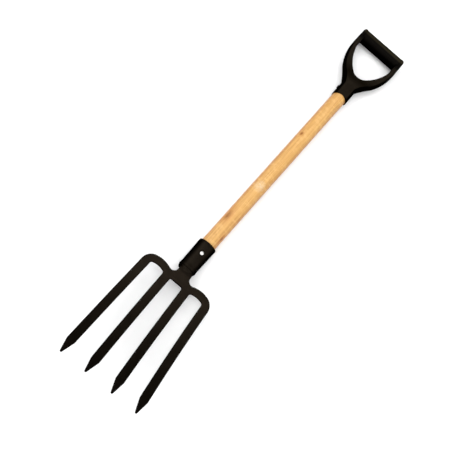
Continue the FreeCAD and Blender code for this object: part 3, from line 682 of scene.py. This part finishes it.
def moulded_plastic():
    """Black moulded plastic with a fine texture: a painted highlight makes the outer half of the
    bar a little paler, and painted shade darkens its inner half and the steep sides.
    """
    g = Graph("moulded_plastic")
    cloud = g.noise(22.0, 4.0)
    base = g.ramp(cloud, (0.3, (0.0074, 0.0058, 0.0040)), (0.7, (0.0097, 0.0076, 0.0052)))
    along = g.node("SeparateXYZ", {"Vector": g.place}).outputs["Y"]
    bar = g.math("SUBTRACT", along, GRIP_Y * MM)
    # Painted highlight: the bar's outer half is made paler.
    painted_bar_light = g.ramp(g.math("MULTIPLY_ADD", bar, 60.0, 0.5), (0.35, 0.0), (0.75, 1.0))
    # Painted shade: the bar's inner half is made darker.
    under = g.ramp(g.math("MULTIPLY_ADD", bar, 60.0, 1.5), (0.15, 0.0), (0.45, 1.0))
    base = g.mix(under, base, g.mix(0.8, base, (0.0015, 0.0015, 0.0015)))
    base = g.mix(painted_bar_light, base, (0.0270, 0.0225, 0.0145))
    # Painted shade on the steep sides.
    base = g.mix(1.0, base, g.painted_side_shade(0.4), "MULTIPLY")
    rough = g.ramp(g.noise(60.0, 5.0, 0.6), (0.35, 0.30), (0.65, 0.40))
    normal = g.bump(g.noise(2200.0, 2.0), 0.00004, 0.35)
    return g.finish_black(base, rough, normal)


def zinc():
    """Bright zinc plate with fine turning marks."""
    g = Graph("zinc_plate")
    cloud = g.noise(900.0, 4.0)
    base = g.ramp(cloud, (0.3, (0.58, 0.58, 0.56)), (0.7, (0.76, 0.76, 0.74)))
    rough = g.ramp(g.noise(1600.0, 4.0), (0.3, 0.24), (0.7, 0.42))
    normal = g.bump(g.noise(2600.0, 3.0), 0.00003, 0.5)
    return g.finish(Base_Color=base, Roughness=rough, Normal=normal, Metallic=1.0)


def paper_floor():
    """The plain white ground."""
    g = Graph("pale_floor")
    base = g.ramp(g.noise(2.0, 2.0), (0.3, (0.92, 0.92, 0.92)), (0.7, (0.94, 0.94, 0.94)))
    return g.finish(Base_Color=base, Roughness=0.9, Specular_IOR_Level=0.1)


def give_material(obj, material):
    obj.data.materials.clear()
    obj.data.materials.append(material)


# ---------------------------------------------------------------- put it together

def build_pieces():
    """Put the finer pieces in the place of their CAD nodes, and soften the hand grip's own node."""
    head_paint = enamel("head_enamel", (0.0095, 0.0071, 0.0050), 0.30, 0.40, 0.4)
    socket_paint = enamel("socket_enamel", (0.0090, 0.0070, 0.0050), 0.34, 0.42, 0.4)
    metal = zinc()
    give_material(stand_for(build_head(), "fork_head"), head_paint)
    give_material(stand_for(build_socket(), "socket"), socket_paint)
    give_material(stand_for(build_weld(), "neck_weld"), socket_paint)
    give_material(stand_for(build_shaft(), "shaft"), varnished_wood())

    along, seat = SOCKET_SCREW
    front = axis_matrix(HEAD_TURN) @ Matrix.Translation((0, along, seat)) @ rotation_about("X", 90)
    screw = build_screw("socket_pan_screw", front)
    give_material(stand_for(screw, "socket_screw"), metal)
    along, seat = COLLAR_SCREW
    side = axis_matrix() @ Matrix.Translation((-seat, along, 0)) @ rotation_about("Z", 90)
    screw = build_screw("collar_pan_screw", side)
    give_material(stand_for(screw, "collar_screw"), socket_paint)

    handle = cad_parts["d_handle"]
    give_material(handle, moulded_plastic())
    remesh = handle.modifiers.new("soften", "REMESH")
    remesh.mode = "VOXEL"
    remesh.voxel_size = 0.8 * MM
    remesh.use_smooth_shade = True
    smooth = handle.modifiers.new("smooth", "SMOOTH")
    smooth.iterations = 6


# Disc lights: place and target in metres, diameter in metres, power in watts.
CENTRE = (0, 0, 0)
LIGHTS = (
    ("key", (-2.0, 0.1, 2.4), CENTRE, 3.0, 72),
    ("fill", (2.0, 0.1, 2.4), CENTRE, 3.0, 38),
    ("side", (2.6, 0.1, 1.0), CENTRE, 1.6, 8),
    ("near", (0.0, -2.4, 2.4), CENTRE, 3.0, 52),
    ("over", (0.0, -0.1, 3.4), CENTRE, 2.0, 32),
    ("far", (0.0, 1.3, 1.5), (0, 0.4, 0), 0.9, 6),
    ("horizon", (0.0, 3.0, 0.9), CENTRE, 2.0, 12),
)
WORLD_STRENGTH = 0.16
FLOOR_SIZE, FLOOR_GAP = 14.0, 0.0002
CAMERA_PLACE = (-0.0014, -0.6307, 1.7097)
CAMERA_PITCH, CAMERA_ROLL = 17.8, 41.724
CAMERA_LENS, CAMERA_SENSOR = 64.0, 36.0


def add_light(name, place, target, size, power):
    """A disc light that faces its target."""
    light = bpy.data.lights.new(name, "AREA")
    light.shape = "DISK"
    light.size = size
    light.energy = power
    obj = bpy.data.objects.new(name, light)
    obj.location = place
    obj.rotation_euler = (Vector(target) - Vector(place)).to_track_quat("-Z", "Y").to_euler()
    bpy.context.scene.collection.objects.link(obj)


def build_studio():
    """The floor, the lights and an even white surround."""
    bpy.ops.mesh.primitive_grid_add(x_subdivisions=8, y_subdivisions=8, size=FLOOR_SIZE)
    floor = bpy.context.object
    floor.name = "floor"
    floor.location = (0, 0, cad_box[0][2] - FLOOR_GAP)
    give_material(floor, paper_floor())

    for light in LIGHTS:
        add_light(*light)
    world = bpy.data.worlds.new("studio")
    world.use_nodes = True
    background = world.node_tree.nodes["Background"]
    background.inputs["Color"].default_value = (1.0, 1.0, 1.0, 1.0)
    background.inputs["Strength"].default_value = WORLD_STRENGTH
    bpy.context.scene.world = world


def build_camera():
    """A camera over the tines' end of the tool, rolled so that the tool lies across its view."""
    pitch, roll = math.radians(CAMERA_PITCH), math.radians(CAMERA_ROLL)
    right = Vector((1, 0, 0))
    up = Vector((0, math.cos(pitch), math.sin(pitch)))
    look = Vector((0, math.sin(pitch), -math.cos(pitch)))
    across = right * math.cos(roll) + up * math.sin(roll)
    above = -right * math.sin(roll) + up * math.cos(roll)
    camera = bpy.data.cameras.new("camera")
    camera.lens = CAMERA_LENS
    camera.sensor_width = CAMERA_SENSOR
    obj = bpy.data.objects.new("camera", camera)
    turned = Matrix((across, above, -look)).transposed().to_4x4()
    obj.matrix_world = Matrix.Translation(CAMERA_PLACE) @ turned
    bpy.context.scene.collection.objects.link(obj)
    bpy.context.scene.camera = obj


build_pieces()
build_studio()
build_camera()
bpy.context.scene.view_settings.view_transform = "Standard"
